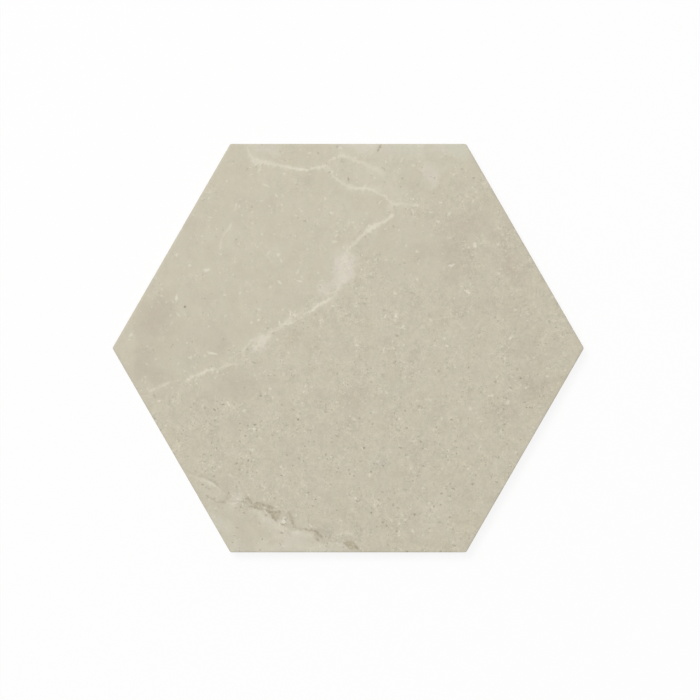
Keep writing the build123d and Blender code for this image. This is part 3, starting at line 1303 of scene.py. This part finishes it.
VEINS = (
    # Main vein, from the small cloud up through the large one
    Strand(Ink.PALE, (
        (-49.5, -3.2, 0.8, 0.0), (-46.9, -1.2, 1.2, 0.45), (-42.9, 2.3, 1.4, 0.7),
        (-39.2, 5.6, 0.9, 0.65), (-37.8, 7.6, 0.9, 0.5), (-34.3, 9.6, 1.0, 0.55),
        (-31.5, 11.8, 0.8, 0.75), (-28.3, 14.7, 0.8, 0.75), (-25.8, 16.1, 0.6, 0.7),
        (-23.6, 17.0, 0.5, 0.35), (-20.6, 17.2, 0.5, 0.5), (-18.1, 18.2, 0.7, 0.7),
        (-16.1, 19.7, 0.8, 0.95), (-13.8, 21.3, 0.9, 0.95), (-10.4, 23.2, 0.8, 0.85),
        (-7.4, 24.8, 0.7, 0.6), (-5.6, 27.6, 0.8, 0.3), (-4.2, 31.5, 1.6, 0.4), (-2.4, 37.6, 2.2, 0.35),
        (-1.4, 43.5, 2.0, 0.45), (0.6, 48.6, 1.3, 0.6), (4.6, 52.7, 0.7, 0.75), (7.7, 55.6, 0.8, 0.75),
        (10.9, 58.3, 1.2, 1.0), (14.6, 60.6, 1.0, 0.9), (18.4, 62.6, 0.7, 0.85), (21.0, 64.4, 0.6, 0.8),
        (22.8, 65.5, 0.5, 0.0))),
    # Its lower end, towards the left corner
    Strand(Ink.PALE, (
        (-98.0, -21.6, 0.4, 0.0), (-96.4, -20.8, 0.5, 0.6), (-93.6, -19.6, 0.6, 0.35),
        (-91.0, -18.4, 0.6, 0.55), (-88.6, -17.3, 0.5, 0.6), (-86.8, -16.7, 0.5, 0.1),
        (-83.8, -15.9, 0.5, 0.35), (-81.0, -16.4, 0.6, 0.2), (-78.6, -15.6, 0.6, 0.65),
        (-75.7, -13.9, 0.6, 0.7), (-72.0, -12.5, 0.7, 0.85), (-68.4, -10.7, 0.7, 0.85),
        (-65.4, -10.0, 0.6, 0.5), (-62.4, -9.8, 0.5, 0.45), (-60.2, -8.7, 0.5, 0.4),
        (-57.2, -8.0, 0.5, 0.55), (-53.8, -7.6, 0.4, 0.35), (-51.5, -7.4, 0.4, 0.0))),
    # Faint strands beside it
    Strand(Ink.PALE, (
        (-60.0, -6.6, 0.4, 0.0), (-57.6, -5.0, 0.5, 0.3), (-54.2, -2.8, 0.5, 0.35),
        (-51.4, -1.0, 0.6, 0.5), (-49.4, 1.2, 0.5, 0.2), (-47.6, 3.4, 0.5, 0.6), (-45.3, 5.0, 0.5, 0.5),
        (-42.2, 5.8, 0.5, 0.45), (-39.6, 5.8, 0.5, 0.0))),
    Strand(Ink.PALE, (
        (-32.0, 11.2, 0.4, 0.0), (-30.0, 11.9, 0.5, 0.75), (-27.4, 12.5, 0.5, 0.7),
        (-25.2, 13.7, 0.5, 0.5), (-22.6, 15.2, 0.5, 0.25), (-20.6, 16.8, 0.4, 0.0))),
    Strand(Ink.PALE, (
        (-13.6, 28.4, 0.5, 0.0), (-12.0, 27.8, 0.6, 0.35), (-8.9, 26.8, 0.6, 0.4),
        (-6.2, 28.2, 0.6, 0.45), (-4.0, 30.6, 0.6, 0.0))),
    # Upper vein and its upper loop
    Strand(Ink.PALE, (
        (-49.6, 98.8, 0.4, 0.0), (-49.0, 97.4, 0.5, 0.6), (-47.0, 93.4, 0.9, 0.5),
        (-44.4, 91.0, 1.3, 0.7), (-39.4, 90.6, 1.0, 0.75), (-35.2, 89.6, 0.8, 0.7),
        (-30.4, 88.7, 0.7, 0.75), (-25.4, 87.6, 0.6, 0.85), (-21.0, 87.3, 0.6, 0.95),
        (-16.6, 88.0, 0.6, 0.8), (-12.4, 88.9, 0.8, 0.8), (-10.4, 89.9, 0.8, 0.65),
        (-9.6, 91.6, 0.7, 0.6), (-6.6, 93.2, 0.7, 0.7), (-1.9, 94.0, 0.7, 0.7), (2.1, 92.9, 0.8, 0.6),
        (5.9, 90.8, 0.9, 0.55), (9.6, 89.6, 1.0, 0.45), (13.6, 87.8, 1.2, 0.4), (16.8, 85.3, 0.8, 0.3),
        (18.4, 83.2, 0.6, 0.0))),
    # Its lower branch
    Strand(Ink.PALE, (
        (-11.4, 89.6, 0.6, 0.0), (-10.2, 88.6, 0.8, 0.5), (-9.3, 86.6, 0.7, 0.45), (-7.6, 84.8, 0.6, 0.5),
        (-5.4, 82.4, 0.6, 0.6), (-2.0, 80.2, 0.6, 0.65), (1.4, 78.4, 0.8, 0.9), (5.8, 78.4, 0.8, 0.95),
        (10.0, 77.9, 0.7, 0.9), (12.3, 77.0, 0.6, 0.85), (15.6, 75.6, 0.5, 0.7), (19.0, 73.2, 0.5, 0.7),
        (21.4, 71.1, 0.6, 0.65), (23.8, 70.4, 0.7, 0.75), (26.8, 71.1, 0.6, 0.4), (29.4, 70.2, 0.5, 0.25),
        (31.4, 69.7, 0.6, 0.8), (33.2, 70.2, 0.6, 0.3), (34.8, 69.6, 0.4, 0.0))),
    # Short vein on the left, edge of a flake at the lower left, arc over the dark patch
    Strand(Ink.PALE, (
        (-57.0, 61.6, 0.3, 0.0), (-57.8, 59.8, 0.4, 0.6), (-60.2, 56.0, 0.45, 0.55),
        (-61.6, 53.4, 0.4, 0.35), (-62.3, 49.8, 0.4, 0.4), (-62.8, 46.8, 0.4, 0.3),
        (-63.0, 45.0, 0.3, 0.0))),
    Strand(Ink.PALE, (
        (-78.4, -61.6, 0.6, 0.0), (-74.4, -63.2, 0.9, 0.35), (-70.0, -64.8, 0.8, 0.6),
        (-66.6, -66.5, 0.7, 0.75), (-64.0, -68.2, 0.6, 0.5), (-62.4, -70.6, 0.6, 0.3),
        (-60.8, -73.4, 0.6, 0.0))),
    Strand(Ink.PALE, (
        (-7.0, -92.2, 0.5, 0.0), (-4.4, -90.8, 0.7, 0.4), (-0.6, -90.5, 0.7, 0.5), (2.8, -91.6, 0.7, 0.4),
        (5.4, -93.6, 0.5, 0.0))),
    # Pale edge of the stone below the crack
    Strand(Ink.PALE, (
        (-48.4, -79.0, 0.7, 0.0), (-45.2, -80.2, 1.1, 0.35), (-41.4, -82.6, 1.3, 0.4),
        (-37.6, -85.2, 1.2, 0.5), (-33.8, -87.4, 1.2, 0.45), (-28.8, -89.2, 1.1, 0.4),
        (-23.6, -90.8, 1.2, 0.5), (-19.0, -91.6, 1.0, 0.4), (-16.4, -92.8, 0.8, 0.0))),
)

CRACKS = (
    # The crack at the lower left: its two sides, the piece broken out beside it, and its run to the edge
    Strand(Ink.DARK, (
        (-49.2, -72.4, 0.4, 0.0), (-48.7, -73.6, 0.5, 0.7), (-48.0, -75.0, 0.5, 0.7),
        (-46.9, -76.0, 0.5, 0.7), (-44.9, -76.0, 0.5, 0.8), (-43.1, -75.7, 0.5, 0.9),
        (-41.6, -76.6, 0.5, 0.8), (-39.6, -77.0, 0.5, 0.8), (-38.0, -77.6, 0.5, 0.9),
        (-36.4, -78.2, 0.4, 0.6), (-35.2, -78.6, 0.3, 0.0))),
    Strand(Ink.DARK, (
        (-49.0, -77.8, 0.4, 0.0), (-48.2, -77.5, 0.4, 0.5), (-46.5, -77.4, 0.4, 0.6),
        (-44.5, -78.4, 0.5, 0.7), (-43.1, -78.8, 0.5, 0.7), (-41.4, -79.2, 0.4, 0.4),
        (-39.8, -79.4, 0.5, 0.7), (-38.4, -80.2, 0.5, 0.8), (-37.6, -81.3, 0.5, 0.8),
        (-36.8, -82.9, 0.5, 0.8), (-35.3, -84.4, 0.5, 0.7), (-34.6, -85.0, 0.4, 0.0))),
    Strand(Ink.DARK, (
        (-38.8, -80.0, 0.4, 0.0), (-37.4, -80.2, 0.5, 0.9), (-35.5, -80.2, 0.5, 0.8),
        (-33.6, -80.1, 0.5, 0.9), (-33.1, -81.4, 0.5, 0.7), (-32.9, -82.4, 0.4, 0.0))),
    Strand(Ink.DARK, (
        (-29.9, -80.0, 0.5, 0.0), (-29.0, -81.3, 0.6, 0.5), (-28.0, -82.9, 0.6, 0.6),
        (-27.6, -84.5, 0.7, 0.6), (-27.0, -86.4, 0.7, 0.5), (-25.4, -87.8, 0.8, 0.45),
        (-23.0, -88.6, 0.8, 0.4), (-20.9, -88.4, 0.6, 0.65), (-18.9, -89.0, 0.6, 0.85),
        (-16.9, -89.4, 0.6, 0.85), (-15.2, -90.2, 0.6, 0.9), (-14.2, -91.4, 0.5, 0.9),
        (-12.8, -92.4, 0.4, 0.7), (-12.0, -93.0, 0.3, 0.0))),
    # Thin line and the flake's shadow at the lower left, stroke at the top edge
    Strand(Ink.DARK, (
        (-69.6, -72.0, 0.3, 0.0), (-68.4, -72.8, 0.4, 0.6), (-66.2, -73.8, 0.35, 0.5),
        (-64.2, -75.3, 0.35, 0.55), (-61.0, -75.3, 0.4, 0.55), (-58.6, -75.4, 0.3, 0.3),
        (-54.6, -75.0, 0.3, 0.35), (-51.0, -75.4, 0.35, 0.5), (-48.6, -76.4, 0.4, 0.0))),
    Strand(Ink.DARK, (
        (-80.0, -59.6, 0.5, 0.0), (-75.0, -62.0, 0.6, 0.35), (-70.6, -63.2, 0.6, 0.4),
        (-65.6, -65.6, 0.6, 0.45), (-62.8, -68.4, 0.6, 0.3), (-61.2, -71.0, 0.6, 0.0))),
    Strand(Ink.DARK, (
        (16.6, 99.8, 0.4, 0.0), (16.0, 98.6, 0.5, 0.7), (14.6, 96.8, 0.5, 0.7), (13.8, 95.4, 0.4, 0.0))),
)

SEAM = Course((
    (-118.0, -26.0), (-96.0, -20.5), (-78.0, -15.0), (-58.0, -7.0), (-43.0, 2.0), (-28.0, 14.5),
    (-11.0, 23.5), (-4.0, 33.0), (2.0, 49.0), (11.0, 58.5), (23.0, 66.0), (34.0, 70.0), (52.0, 80.0),
    (80.0, 96.0)))

CLOUDS = Wash("clouds", (211.5, 204.0, 189.0), 1.2, (
    # Along the main vein
    (-3.0, 38.4, 11.0, 6.0, 68, 1.0), (-4.2, 34.0, 6.0, 4.4, 60, 0.5), (-5.4, 43.6, 5.0, 2.4, 75, 0.4),
    (-43.2, 2.0, 5.8, 4.2, 40, 0.75), (-41.0, 4.0, 3.4, 2.4, 40, 0.4), (-11.0, 27.4, 6.4, 3.8, 35, 0.7),
    (-5.0, 42.0, 14.0, 10.0, 70, 0.25),
    # Along the upper vein
    (-45.5, 92.5, 6.5, 3.0, -35, 0.45), (-40.0, 96.0, 8.0, 4.0, 0, 0.4), (5.0, 84.0, 18.0, 9.0, -10, 0.3),
    (8.0, 97.5, 9.0, 4.5, -10, 0.65), (18.0, 94.0, 7.0, 4.0, -10, 0.5), (18.0, 77.5, 9.0, 5.0, -15, 0.4),
    (27.0, 73.6, 7.0, 5.0, 0, 0.3), (20.5, 69.0, 6.5, 5.0, 0, 0.3),
    # At the top right
    (40.6, 84.6, 8.5, 5.0, 80, 0.75), (37.0, 85.9, 3.0, 1.0, 0, 0.5), (41.4, 80.0, 3.4, 1.4, 90, 0.3),
    (36.6, 82.8, 3.0, 1.4, 60, 0.4), (47.1, 86.6, 3.0, 2.4, 0, 0.35), (45.0, 96.0, 7.0, 4.0, 0, 0.45),
    # About the crack
    (-33.0, -89.8, 14.0, 5.5, -28, 0.45), (-40.0, -83.0, 6.0, 3.4, -30, 0.45),
    (-22.0, -93.0, 11.0, 5.0, -10, 0.45), (-54.9, -73.0, 5.0, 3.8, 10, 0.9),
    (-56.4, -77.6, 4.0, 3.0, 0, 0.4), (-46.0, -80.0, 4.0, 2.0, -20, 0.35),
    (-3.4, -98.0, 4.0, 2.0, 0, 0.5), (-68.0, -70.0, 8.0, 5.0, -35, 0.25),
    (-40.0, -98.0, 22.0, 4.0, 0, 0.35),
    # Over the smooth stone, and faintly at the lower right
    (-59.5, 54.5, 10.0, 8.0, 0, 0.15), (-33.4, 46.0, 6.0, 5.0, 0, 0.15),
    (-2.0, 66.0, 16.0, 12.0, 0, 0.15), (42.0, -80.0, 17.0, 12.0, 60, 0.25),
    (75.0, -56.0, 11.0, 5.0, 60, 0.25)))

ROSES = Wash("roses", (190.5, 180.8, 162.0), 1.6, (
    # About the left corner and below the main vein
    (-95.0, 15.0, 19.0, 11.0, 65, 1.0), (-84.0, 10.0, 12.0, 9.0, 0, 0.3),
    (-99.0, -8.0, 15.0, 10.0, 100, 0.85), (-91.0, -15.0, 10.0, 8.0, 0, 0.55),
    (-59.0, -16.0, 13.0, 8.0, 15, 0.3), (-72.0, 3.0, 24.0, 13.0, 15, 0.35),
    (-52.0, -19.0, 17.0, 9.0, 0, 0.65), (-72.0, -27.0, 14.0, 10.0, 0, 0.35),
    (-71.0, -40.0, 14.0, 12.0, 90, 0.2),
    # On the right
    (57.0, 60.0, 16.0, 11.0, 20, 0.7), (55.0, 38.0, 16.0, 8.0, 0, 0.5), (35.0, 46.0, 10.0, 6.0, 20, 0.55),
    (51.0, 47.0, 12.0, 9.0, 0, 0.75), (76.0, 42.0, 12.0, 8.0, -60, 0.45),
    (69.0, 24.0, 12.0, 8.0, 0, 0.25), (74.0, 56.0, 11.0, 7.0, -60, 0.6),
    (83.0, 38.0, 12.0, 8.0, -60, 0.8), (50.7, 33.0, 8.0, 7.0, 0, 0.3), (82.0, 18.0, 13.0, 10.0, 0, 0.5),
    (66.0, 20.0, 12.0, 10.0, 0, 0.25), (89.0, -3.0, 18.0, 10.0, 90, 0.45),
    (91.0, -20.0, 13.0, 9.0, 20, 0.85), (75.0, -31.0, 11.0, 7.0, 0, 0.55),
    # Below, and beside the crack
    (3.0, -25.0, 14.0, 11.0, 90, 0.45), (-12.0, -40.0, 22.0, 11.0, 0, 0.3),
    (-59.5, -68.0, 6.0, 4.4, -50, 0.6), (11.0, -99.0, 7.0, 2.0, 0, 0.5),
    (-11.0, -89.5, 10.0, 5.5, -20, 0.6)))

OLIVES = Wash("olives", (194.0, 184.8, 161.0), 1.8, (
    (-26.5, 4.8, 7.5, 4.6, 15, 0.7), (-16.0, 2.0, 9.0, 7.0, 0, 0.25), (19.0, -85.5, 9.0, 6.0, 0, 0.35),
    (57.0, -86.5, 10.0, 8.0, 0, 0.3), (-54.0, 82.0, 14.0, 9.0, 60, 0.3)))

SMOKES = Wash("smokes", (188.0, 184.0, 170.0), 1.8, (
    (24.0, -19.0, 11.0, 7.0, 90, 0.25), (13.5, -56.3, 10.0, 6.0, 0, 0.3),
    (-52.0, -96.0, 12.0, 5.0, 0, 0.15), (-11.0, -89.5, 10.0, 5.5, -20, 0.3),
    (-80.0, -8.0, 14.0, 8.0, 0, 0.2)))

MISTS = Wash("mists", (212.0, 209.0, 192.0), 1.0, (
    # Along the top edge
    (-43.0, 98.5, 10.0, 5.0, 0, 0.4), (6.0, 98.5, 15.0, 6.0, 0, 0.45), (30.0, 98.0, 18.0, 7.0, 0, 0.5),
    (53.0, 98.0, 11.0, 7.0, 0, 0.5), (20.0, 87.0, 14.0, 5.0, 0, 0.2), (46.0, 87.0, 10.0, 5.0, 0, 0.15),
    # Along the lower left edge and the bottom
    (-62.0, -86.0, 11.0, 5.0, -60, 0.45), (-55.0, -97.0, 5.0, 4.0, -30, 0.25),
    (-32.0, -98.5, 13.0, 5.0, 0, 0.35), (-13.0, -98.5, 12.0, 5.0, 0, 0.45)))

CALMS = Wash("calms", (199.5, 193.0, 173.5), 0.6, (
    (30.0, 48.0, 27.0, 18.0, -25, 1.0), (62.0, 62.0, 14.0, 10.0, 0, 0.6),
    (-42.0, -93.0, 31.0, 11.0, -12, 1.0), (-66.0, -75.0, 14.0, 10.0, -50, 0.6),
    (-53.0, -16.0, 26.0, 8.0, 18, 0.8), (-22.0, 3.0, 14.0, 8.0, 25, 0.5)))

UMBERS = Wash("umbers", (177.0, 168.0, 142.5), 0.7, (
    (-49.4, -73.4, 2.8, 1.2, -70, 0.4), (-44.7, -77.3, 3.4, 1.5, -14, 0.85),
    (-38.6, -78.3, 2.2, 1.3, -28, 0.7), (-35.5, -81.9, 2.9, 2.3, -60, 0.85),
    (1.6, -96.4, 3.9, 2.1, -24, 0.95), (-0.4, -95.6, 1.8, 1.2, 20, 0.4),
    (-27.4, -84.6, 3.6, 1.2, -70, 0.3)))

FLECKS = Wash("flecks", (221.0, 214.5, 198.5), 1.0, (
    # Beside the veins and over the smooth stone
    (-66.2, -2.7, 2.9, 0.9, -8, 0.8), (-77.6, -4.4, 1.3, 0.8, 0, 0.6), (-33.5, 32.1, 1.7, 0.8, -35, 0.75),
    (-23.8, 32.9, 1.8, 0.7, -5, 0.65), (-14.8, 36.8, 1.0, 0.7, 30, 0.5), (-12.9, 33.1, 1.1, 0.8, 0, 0.4),
    (-34.3, 45.8, 1.4, 1.0, 20, 0.6), (-32.8, 42.8, 1.4, 0.6, -65, 0.5),
    (-38.9, 46.6, 1.7, 0.6, 65, 0.45), (-47.4, 12.5, 1.3, 0.8, 40, 0.5),
    (-28.3, 16.7, 1.8, 0.55, 90, 0.85), (-33.7, 12.4, 1.4, 0.55, 90, 0.8),
    (-20.8, 19.2, 1.4, 0.6, 10, 0.5), (-54.8, 69.5, 2.3, 0.6, 76, 0.5), (-69.3, 38.3, 2.2, 1.0, 5, 0.85),
    (-84.1, 24.4, 2.9, 0.8, 79, 0.8), (-106.4, 6.4, 1.2, 1.0, 0, 0.6), (-42.2, 56.0, 1.0, 0.8, 0, 0.5),
    (-31.0, 85.4, 1.0, 0.7, 0, 0.6), (-7.9, 86.3, 0.9, 0.8, 40, 0.7), (-43.8, 86.7, 1.7, 0.8, 60, 0.5),
    (-40.0, 79.6, 2.5, 0.6, -27, 0.45), (-42.5, 72.0, 1.3, 0.9, 0, 0.45),
    (-46.6, 61.1, 0.9, 0.8, 0, 0.45), (-6.6, 52.0, 1.8, 0.9, 0, 0.45), (0.2, 61.3, 2.2, 0.7, 80, 0.35),
    (4.0, 20.5, 1.3, 0.7, -20, 0.5),
    # Over the grainy stone on the right
    (49.6, 65.9, 1.7, 0.7, 60, 0.75), (40.5, 66.5, 1.1, 0.7, 0, 0.5), (44.0, 62.0, 1.1, 0.7, 0, 0.5),
    (31.8, 89.3, 1.2, 0.8, 0, 0.5), (62.1, 50.3, 1.9, 1.1, 80, 0.85), (64.8, 50.9, 1.4, 0.6, 25, 0.6),
    (50.0, 54.1, 1.9, 0.7, 10, 0.4), (73.1, 50.7, 1.2, 0.8, 0, 0.45), (50.7, 40.7, 2.0, 0.7, 12, 0.85),
    (74.4, 38.8, 1.2, 1.0, 0, 0.45), (58.0, 27.7, 2.2, 0.7, -40, 0.8), (47.0, 4.6, 1.0, 0.8, 0, 0.75),
    (48.4, 1.3, 1.5, 0.7, -25, 0.7), (79.8, 5.6, 2.1, 1.2, 40, 0.5), (87.0, -19.3, 0.9, 0.7, 0, 0.8),
    (78.1, -26.6, 1.7, 1.2, 60, 0.6), (74.6, 0.9, 1.3, 0.7, 0, 0.5), (17.4, -0.8, 2.1, 0.6, 80, 0.45),
    (23.5, 16.1, 2.0, 1.2, 60, 0.35), (69.6, -23.3, 1.6, 0.8, 0, 0.6), (39.5, -25.2, 2.0, 0.8, 0, 0.4),
    (59.8, -29.6, 1.2, 1.0, 0, 0.5),
    # Over the grainy stone below
    (12.0, -31.1, 1.4, 1.0, 0, 0.4), (36.7, -68.6, 1.0, 0.7, 0, 0.6), (39.5, -75.8, 0.9, 0.9, 0, 0.6),
    (31.7, -89.5, 2.4, 0.8, -50, 0.7), (-5.5, -26.4, 1.0, 0.7, 0, 0.5), (-45.9, -39.8, 1.3, 1.0, 0, 0.65),
    (-50.9, -30.6, 1.2, 0.8, 0, 0.5), (-33.1, -58.1, 1.0, 0.9, 0, 0.75),
    (-52.1, -59.6, 0.9, 0.7, 0, 0.75), (-58.1, -62.1, 1.4, 0.8, -20, 0.5),
    (-71.1, -28.3, 1.6, 0.6, 60, 0.5), (-38.1, -19.9, 1.0, 0.8, 0, 0.6), (-22.6, -55.8, 0.9, 0.7, 0, 0.5),
    (-62.6, -58.1, 1.2, 0.6, 0, 0.45), (-46.6, -49.8, 1.2, 0.8, 90, 0.45),
    # About the crack and the flake
    (-31.2, -83.6, 1.9, 0.9, 65, 0.9), (-31.6, -85.0, 1.7, 1.1, -10, 0.9),
    (-40.2, -80.0, 1.4, 0.7, -45, 0.6), (-40.6, -78.1, 0.9, 0.6, 0, 0.45),
    (-67.4, -66.1, 3.8, 0.9, -26, 0.5), (-25.0, -90.2, 2.2, 1.1, -10, 0.4)))

SPECKS = Wash("specks", (146.0, 137.0, 117.0), 1.0, (
    # Over the smooth stone
    (-79.9, 20.2, 0.7, 0.6, 0, 0.9), (-94.6, -23.4, 1.7, 0.7, 100, 0.35),
    (-14.7, 95.4, 0.9, 0.6, 100, 0.45), (0.0, 82.5, 1.2, 0.7, 100, 0.6), (-2.9, 91.5, 1.2, 1.0, 0, 0.25),
    (17.4, 87.8, 1.6, 0.5, -50, 0.35), (-24.7, 63.8, 0.9, 0.6, -40, 0.35),
    (-25.4, 80.1, 0.7, 0.6, 0, 0.3), (-9.2, 86.0, 0.8, 0.6, 0, 0.4), (-61.0, 4.2, 1.0, 0.6, 80, 0.35),
    (-86.0, 1.6, 0.7, 0.5, 80, 0.35),
    # Over the grainy stone
    (61.3, 83.2, 0.8, 0.6, -20, 0.5), (26.5, 83.1, 0.8, 0.6, 0, 0.35), (25.7, 78.8, 0.8, 0.6, 0, 0.35),
    (41.7, 75.6, 0.8, 0.6, 0, 0.35), (84.1, -14.8, 0.8, 0.7, 0, 0.6), (77.4, -24.7, 0.7, 0.6, 0, 0.55),
    (73.2, 13.3, 0.7, 0.6, 0, 0.4), (7.6, -49.0, 0.8, 0.7, 0, 0.85), (35.7, -45.8, 0.7, 0.6, 0, 0.6),
    (31.3, -46.4, 0.7, 0.6, 0, 0.4), (12.0, -37.1, 0.7, 0.5, 0, 0.4), (52.6, -45.5, 0.7, 0.6, 0, 0.4),
    (58.9, -49.2, 0.7, 0.6, 90, 0.4), (45.4, -71.2, 0.8, 0.6, 0, 0.6), (22.2, -76.7, 0.9, 0.7, 60, 0.5),
    (20.7, -74.2, 0.7, 0.5, 0, 0.35), (32.3, -81.6, 0.8, 0.7, 0, 0.7), (17.0, -85.4, 0.7, 0.6, 0, 0.55),
    (18.6, -86.7, 0.7, 0.6, 0, 0.55), (28.7, -69.3, 2.4, 0.5, -5, 0.25), (28.8, -65.5, 2.2, 0.5, 0, 0.2),
    (73.5, -53.3, 0.8, 0.5, 90, 0.4), (-24.6, -34.9, 0.8, 0.7, 0, 0.45),
    (-42.1, -35.6, 0.9, 0.6, 90, 0.35), (-53.4, -59.3, 0.8, 0.7, 0, 0.45),
    (-79.6, -44.8, 1.3, 0.5, 0, 0.3), (-78.6, -43.1, 1.3, 0.5, -5, 0.3),
    (-24.1, -53.8, 1.2, 0.5, -70, 0.35), (-29.9, -52.3, 0.7, 0.5, 0, 0.4),
    # About the crack and the dark patch
    (-0.8, -96.1, 1.4, 0.8, -30, 0.3), (4.2, -97.5, 1.5, 0.9, -30, 0.6), (-2.4, -97.5, 0.8, 0.6, 0, 0.3),
    (-14.8, -93.9, 1.2, 0.7, -50, 0.5), (-31.9, -86.3, 1.5, 0.5, -20, 0.6),
    (-39.8, -81.7, 0.9, 0.6, -20, 0.45), (-10.9, -89.8, 1.4, 0.4, 0, 0.25),
    (-8.8, -92.2, 1.9, 0.4, 62, 0.3), (-11.2, -91.6, 1.5, 0.4, -75, 0.25),
    (-19.4, -84.2, 1.6, 0.5, -70, 0.3)))

PALE_MARKS = (
    Scatter(3.0, 0.65, 0.18, 5.0),
    Scatter(4.4, 0.75, 0.15, 6.0, 1.7, 10),
    Scatter(5.0, 0.65, 0.13, 7.0, 2.4, 62),
    Scatter(5.0, 0.65, 0.13, 8.0, 2.4, -48),
)

DARK_MARKS = (
    Scatter(2.8, 0.55, 0.2, 9.0),
    Scatter(5.5, 0.8, 0.12, 10.0),
    Scatter(4.6, 0.55, 0.14, 11.0, 2.2, -20),
)


def main() -> None:
    """Builds the tile, its finishes and the studio, in that order."""
    logging.basicConfig(level=logging.INFO, format="%(name)s: %(message)s")
    bpy.context.scene.view_settings.view_transform = "Standard"
    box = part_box("floor_tile")
    low, high = Vector(box[0]), Vector(box[1])
    face_height = (high.z - low.z) / MM

    stone = Stone(VEINS + CRACKS, SEAM, CLOUDS, ROSES, OLIVES, SMOKES, MISTS, CALMS, UMBERS, FLECKS,
                  SPECKS, PALE_MARKS, DARK_MARKS)
    body = TileBody()
    face_finish = StoneGlaze().material(stone, face_height)
    body_finish = BareBody().material(face_height, body.pocket_depth)
    tile = body.build(stone, face_finish, body_finish, (low, high))
    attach(tile, "root")
    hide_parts("floor_tile")
    finishes = ", ".join(material.name for material in tile.data.materials)
    log.info("%s: %d faces, finishes %s", tile.name, len(tile.data.polygons), finishes)

    studio = Studio()
    middle = Vector((0.0, 0.0, high.z))
    log.info("%s: white, at the level of the back", studio.floor(low.z).name)
    studio.light(middle)
    log.info("%s: straight above the tile", studio.camera(middle, high.y - low.y).name)


if __name__ == "__main__":
    main()
